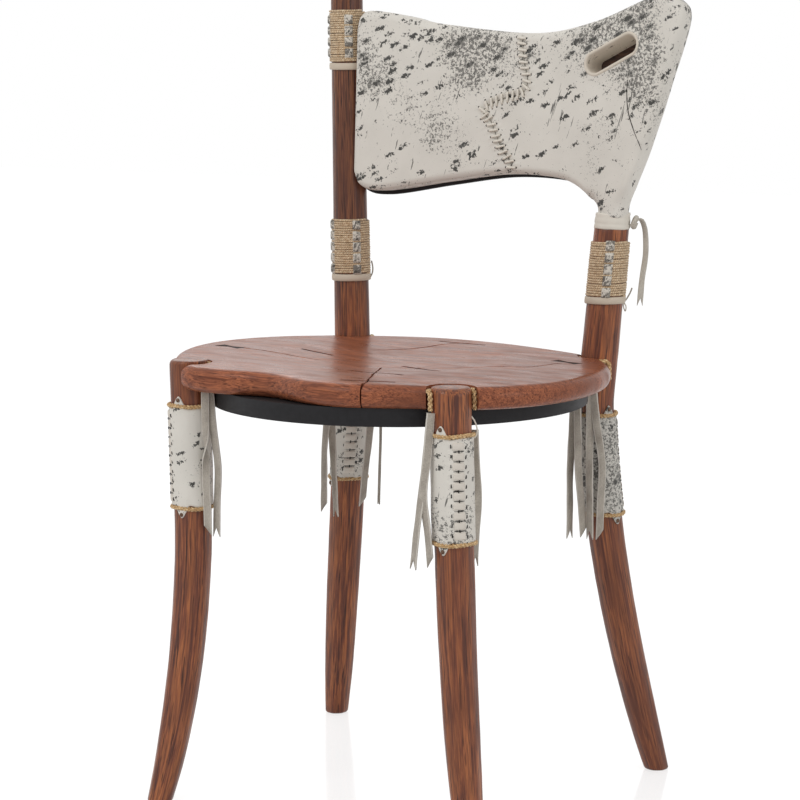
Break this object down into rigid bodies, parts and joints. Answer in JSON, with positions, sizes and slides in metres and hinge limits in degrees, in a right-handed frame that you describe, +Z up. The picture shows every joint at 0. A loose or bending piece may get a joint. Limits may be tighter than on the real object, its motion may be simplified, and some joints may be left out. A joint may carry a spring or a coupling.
{
  "type": "side chair",
  "caption": "Rustic side chair: slab seat on curved legs, a tall post, a leather-clad half back, laced leather sleeves and twine bindings.",
  "frame": {"origin": "on the floor, under the middle of the chair's bounding box", "axes": "+Z up, the sitter faces -Y, +X to the right of someone who looks at the chair's front"},
  "size_m": [0.4892, 0.4242, 0.876],
  "materials": {
    "seat_wood": "polished dark red-brown",
    "leg_wood": "polished orange-brown",
    "core_wood": "sawn, covered",
    "dark_inlay": "oiled, dark",
    "black_paint": "black satin paint",
    "pale_leather": "scuffed, pale grey",
    "strap_leather": "smooth, brown",
    "lace": "cream, waxed",
    "twine": "waxed tan twine",
    "brass": "aged",
    "steel": "zinc plated"
  },
  "bodies": {
    "root": {"seat_slab": "seat_wood", "seat_splines": "dark_inlay", "seat_bow_ties": "dark_inlay", "under_seat_ring": "black_paint", "seat_screws": "steel", "leg_screws": "steel", "back_screws": "steel", "board_screws": "steel", "sleeve_tacks": "brass", "backrest_board": "black_paint", "backrest_core": "core_wood", "backrest_hide_left": "pale_leather", "backrest_hide_right": "pale_leather", "slot_lining": "strap_leather", "seam_stitches": "lace", "tail_cuff": "pale_leather", "cuff_tie": "strap_leather", "leg_front_left": "leg_wood", "joint_cord_front_left": "twine", "leather_sleeve_front_left": "pale_leather", "sleeve_lacing_front_left": "lace", "sleeve_cords_front_left": "twine", "leather_tails_front_left": "strap_leather", "leg_front_right": "leg_wood", "joint_cord_front_right": "twine", "leather_sleeve_front_right": "pale_leather", "sleeve_lacing_front_right": "lace", "sleeve_cords_front_right": "twine", "leather_tails_front_right": "strap_leather", "leg_back_left": "leg_wood", "joint_cord_back_left": "twine", "leather_sleeve_back_left": "pale_leather", "sleeve_lacing_back_left": "lace", "sleeve_cords_back_left": "twine", "leather_tails_back_left": "strap_leather", "leg_back_right": "leg_wood", "joint_cord_back_right": "twine", "leather_sleeve_back_right": "pale_leather", "sleeve_lacing_back_right": "lace", "sleeve_cords_back_right": "twine", "leather_tails_back_right": "strap_leather", "twine_binding_tall_upper": "twine", "leather_squares_tall_upper": "strap_leather", "binding_band_tall_upper": "strap_leather", "twine_binding_tall_lower": "twine", "leather_squares_tall_lower": "strap_leather", "binding_band_tall_lower": "strap_leather", "twine_binding_short": "twine", "leather_squares_short": "strap_leather", "binding_band_short": "strap_leather"}
  },
  "joints": []
}
